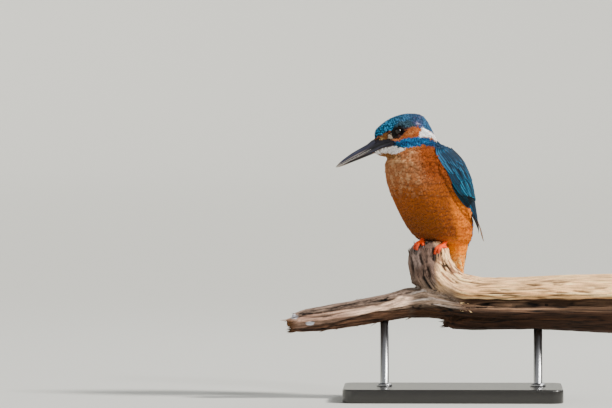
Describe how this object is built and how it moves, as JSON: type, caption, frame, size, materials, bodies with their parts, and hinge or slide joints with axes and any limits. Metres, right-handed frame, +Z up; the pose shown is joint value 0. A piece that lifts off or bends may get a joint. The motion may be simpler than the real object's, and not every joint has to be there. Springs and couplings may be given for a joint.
{
  "type": "common kingfisher perched on a driftwood stub, life-size display model",
  "caption": "Common kingfisher at rest on the broken stub of a driftwood branch, head in profile, on a plain display stand.",
  "frame": {"origin": "middle of the stand base's underside", "axes": "+Z up, the bill points towards -X, the breast is turned towards -Y and the thick end of the branch runs towards +X"},
  "size_m": [0.2414, 0.092, 0.2097],
  "materials": {
    "head_plumage": "fine barred feathers, dark teal with turquoise tips",
    "neck_plumage": "soft feathers, white and warm beige",
    "breast_plumage": "soft feathers, rufous orange",
    "tail_plumage": "smooth feathers, blue over pale orange",
    "wing_plumage": "smooth feathers, blue-green with pale spots",
    "bill_horn": "half-gloss horn",
    "eye_gloss": "wet gloss, near black",
    "foot_skin": "scaly skin, orange red",
    "claw_horn": "half-gloss horn",
    "weathered_wood": "dry weathered driftwood",
    "base_lacquer": "satin black lacquer",
    "rod_steel": "brushed"
  },
  "bodies": {
    "root": {"head": "head_plumage", "neck": "neck_plumage", "trunk": "breast_plumage", "tail": "tail_plumage", "wing_left": "wing_plumage", "wing_right": "wing_plumage", "bill_upper": "bill_horn", "bill_lower": "bill_horn", "eye_left": "eye_gloss", "eye_right": "eye_gloss", "leg_left": "foot_skin", "leg_right": "foot_skin", "claw_left_inner": "claw_horn", "claw_left_middle": "claw_horn", "claw_left_outer": "claw_horn", "claw_left_back": "claw_horn", "claw_right_inner": "claw_horn", "claw_right_middle": "claw_horn", "claw_right_outer": "claw_horn", "claw_right_back": "claw_horn", "perch": "weathered_wood", "stand_base": "base_lacquer", "stand_rod_left": "rod_steel", "stand_rod_right": "rod_steel"}
  },
  "joints": []
}
